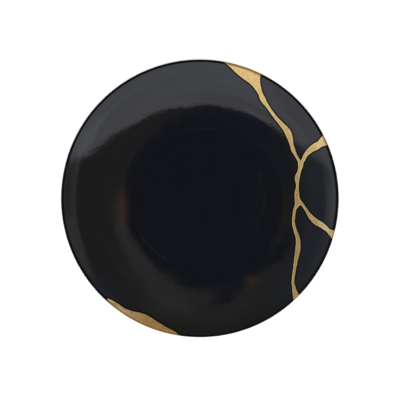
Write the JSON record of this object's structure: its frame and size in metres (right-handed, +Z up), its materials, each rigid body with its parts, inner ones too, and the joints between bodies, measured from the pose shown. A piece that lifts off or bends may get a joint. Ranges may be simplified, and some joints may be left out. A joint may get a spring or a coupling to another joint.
{
  "type": "kintsugi plate",
  "caption": "Round black-glazed coupe plate with a flat well, curved wall and foot ring, broken shards of the rim joined with raised gold lacquer seams.",
  "frame": {"origin": "centre of the plate, on the plane that the foot ring stands on", "axes": "+Z up out of the well, +Y towards the wide gold wedge at the rim (up in the picture), +X towards the branching seam (right in the picture)"},
  "size_m": [0.27, 0.27, 0.0242],
  "materials": {
    "black_glaze": "gloss",
    "gold_lacquer": "satin"
  },
  "bodies": {
    "root": {"plate_body": "black_glaze", "rim_shard_upper": "black_glaze", "rim_shard_middle": "black_glaze", "rim_shard_lower": "black_glaze", "gold_seam": "gold_lacquer", "gold_rim_fill": "gold_lacquer"}
  },
  "joints": []
}
